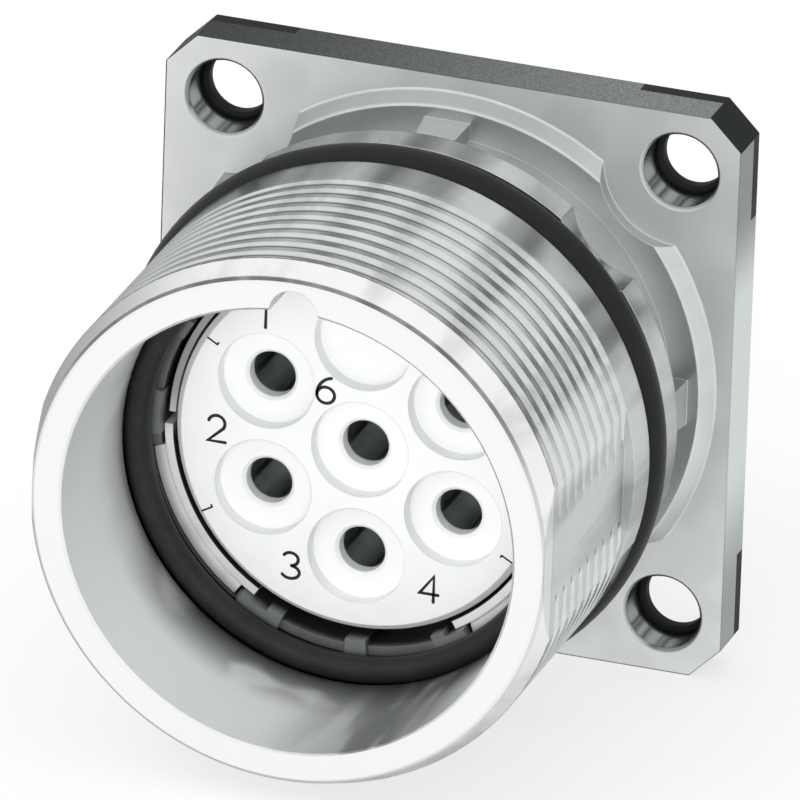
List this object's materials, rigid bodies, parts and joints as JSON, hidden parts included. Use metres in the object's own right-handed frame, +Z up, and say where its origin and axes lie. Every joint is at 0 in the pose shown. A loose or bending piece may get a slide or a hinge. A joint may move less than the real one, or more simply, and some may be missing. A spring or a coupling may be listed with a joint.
{
  "type": "circular connector receptacle",
  "caption": "Metal panel-mount circular connector receptacle: square flange with screw holes, threaded barrel with keyway and seals, white insert with socket contacts.",
  "frame": {"origin": "on the connector's axis, in the plane of the flange's back, which lies on the panel", "axes": "+Y along the axis, from the mating side to the wires; +Z up, towards the keyway; +X to the right as seen from the mating side"},
  "size_m": [0.025, 0.0322, 0.025],
  "materials": {
    "plated_casting": "satin nickel plating",
    "seal_rubber": "smooth, slightly oiled",
    "gasket_rubber": "matte",
    "white_insulator": "moulded, matte",
    "black_plastic": "moulded, matte",
    "shield_sheet": "rolled sheet",
    "spring_steel": "hardened, smooth",
    "contact_metal": "turned and plated grey"
  },
  "bodies": {
    "root": {"shell": "plated_casting", "outer_seal": "seal_rubber", "inner_seal": "seal_rubber", "flange_gasket": "gasket_rubber", "contact_insert": "white_insulator", "coding_ring": "black_plastic", "shield_ring": "shield_sheet", "rear_insulator": "white_insulator", "retaining_ring": "spring_steel", "socket_contact_1": "contact_metal", "socket_contact_2": "contact_metal", "socket_contact_3": "contact_metal", "socket_contact_4": "contact_metal", "socket_contact_5": "contact_metal", "socket_contact_6": "contact_metal", "spring_sleeve_1": "spring_steel", "spring_sleeve_2": "spring_steel", "spring_sleeve_3": "spring_steel", "spring_sleeve_4": "spring_steel", "spring_sleeve_5": "spring_steel", "spring_sleeve_6": "spring_steel"}
  },
  "joints": []
}
